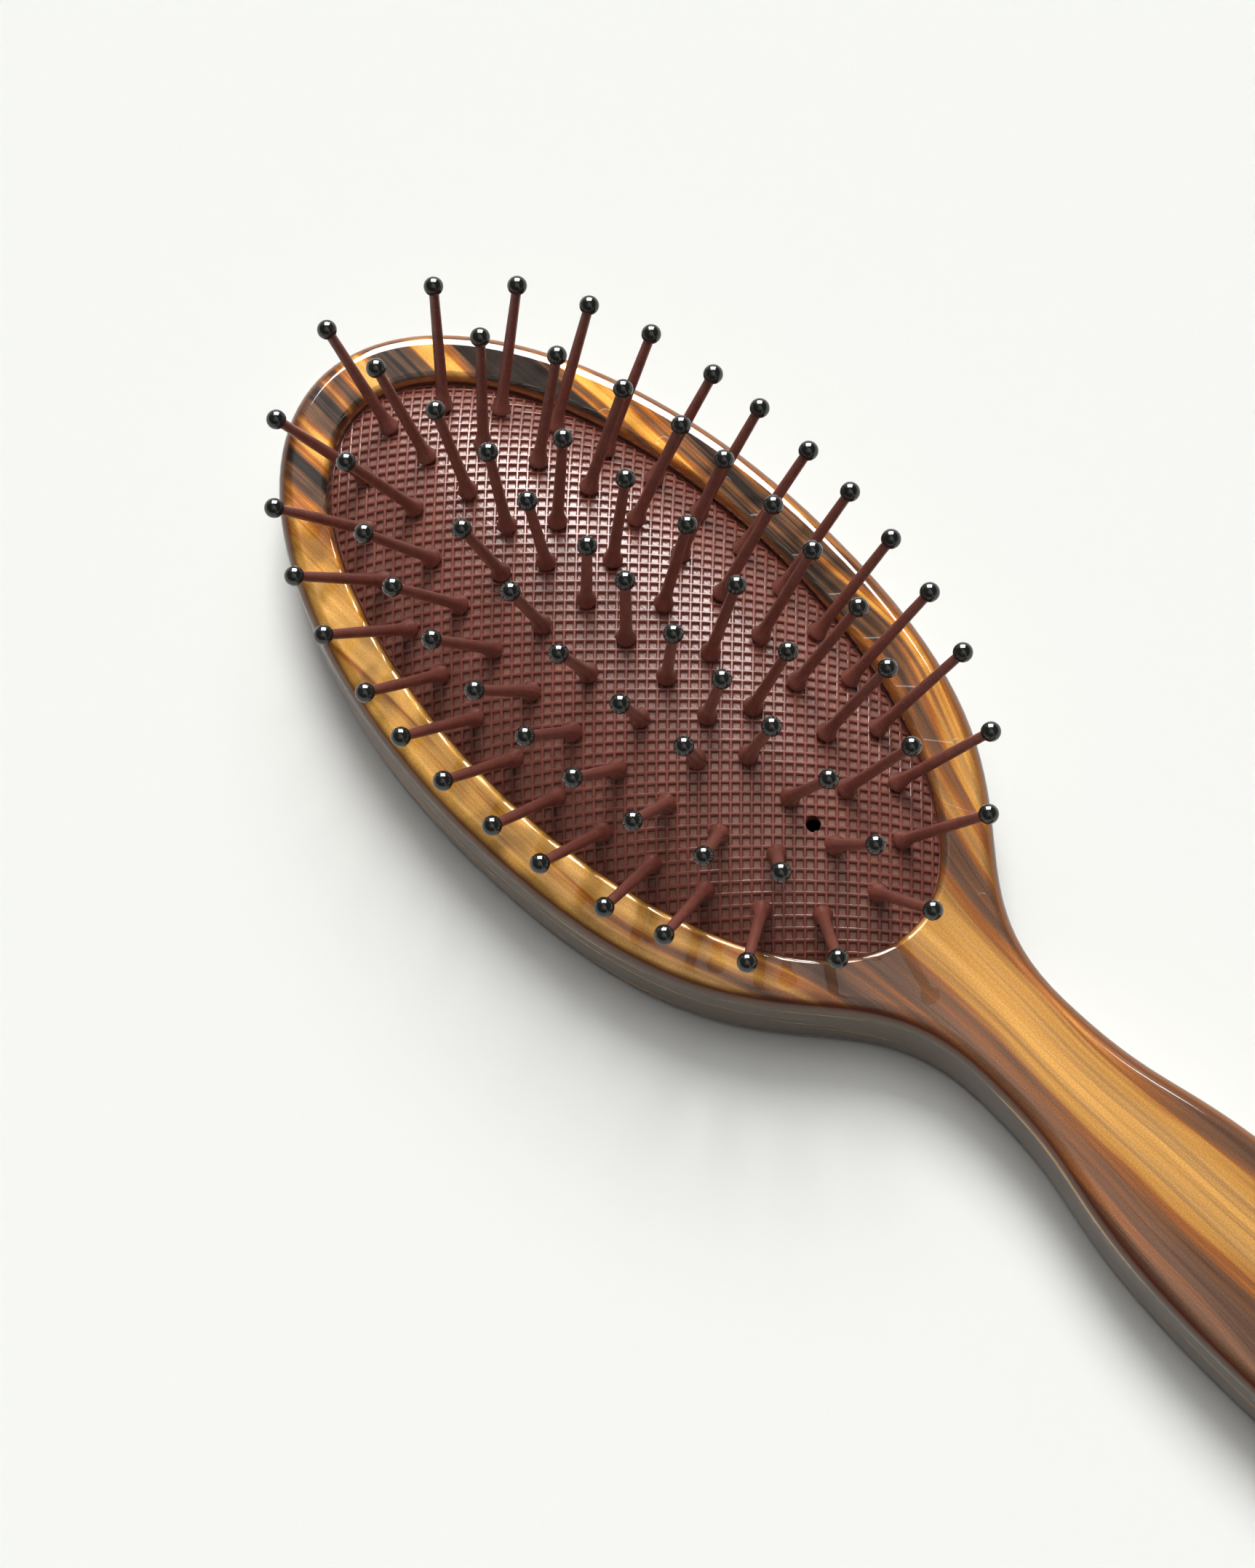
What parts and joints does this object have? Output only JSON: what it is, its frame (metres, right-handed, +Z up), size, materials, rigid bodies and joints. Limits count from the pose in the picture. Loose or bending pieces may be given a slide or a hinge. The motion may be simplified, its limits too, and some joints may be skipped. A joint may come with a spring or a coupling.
{
  "type": "detangling brush",
  "caption": "Detangling hair brush: flat polished acetate body with a slim neck, oval domed rubber cushion and splayed ball-tipped pins.",
  "frame": {"origin": "middle of the brush's length and width on its flat back, which it lies on", "axes": "+X from the head to the end of the handle, +Z up out of the face, the way the pins point, +Y to the right of a user who holds the handle and looks at the pins"},
  "size_m": [0.22, 0.0587, 0.0382],
  "materials": {
    "acetate_body": "marbled pearl cellulose acetate sheet, machined and tumble polished to a mirror",
    "pad_rubber": "moulded red-brown rubber, matte, with a fine raised grid",
    "pin_nylon": "injection moulded red-brown nylon, satin",
    "tip_nylon": "dark green-black nylon balls, glossy"
  },
  "bodies": {
    "root": {"handle_body": "acetate_body", "cushion_pad": "pad_rubber"},
    "outer_ring": {"pins_outer_toe": "pin_nylon", "pins_outer_right": "pin_nylon", "pins_outer_heel": "pin_nylon", "pins_outer_left": "pin_nylon", "tips_outer_toe": "tip_nylon", "tips_outer_right": "tip_nylon", "tips_outer_heel": "tip_nylon", "tips_outer_left": "tip_nylon"},
    "second_ring": {"pins_second_toe": "pin_nylon", "pins_second_right": "pin_nylon", "pins_second_heel": "pin_nylon", "pins_second_left": "pin_nylon", "tips_second_toe": "tip_nylon", "tips_second_right": "tip_nylon", "tips_second_heel": "tip_nylon", "tips_second_left": "tip_nylon"},
    "third_ring": {"pins_third_right": "pin_nylon", "pins_third_left": "pin_nylon", "tips_third_right": "tip_nylon", "tips_third_left": "tip_nylon"},
    "centre_row": {"pins_centre_row": "pin_nylon", "tips_centre_row": "tip_nylon"}
  },
  "joints": [
    {"name": "centre_row_press", "type": "slide", "parent": "root", "child": "centre_row", "axis": [0, 0, -1], "range_m": [0, 0.0032], "stiffness_N_per_m": 1200, "deforming": ["cushion_pad"]},
    {"name": "third_ring_press", "type": "slide", "parent": "root", "child": "third_ring", "axis": [0, 0, -1], "range_m": [0, 0.0032], "stiffness_N_per_m": 1200},
    {"name": "second_ring_press", "type": "slide", "parent": "root", "child": "second_ring", "axis": [0, 0, -1], "range_m": [0, 0.00256], "stiffness_N_per_m": 1200},
    {"name": "outer_ring_press", "type": "slide", "parent": "root", "child": "outer_ring", "axis": [0, 0, -1], "range_m": [0, 0.00134], "stiffness_N_per_m": 1200}
  ],
  "couplings": [
    {"joint": "third_ring_press", "follows": "centre_row_press", "ratio": 1},
    {"joint": "second_ring_press", "follows": "centre_row_press", "ratio": 0.8},
    {"joint": "outer_ring_press", "follows": "centre_row_press", "ratio": 0.42}
  ]
}
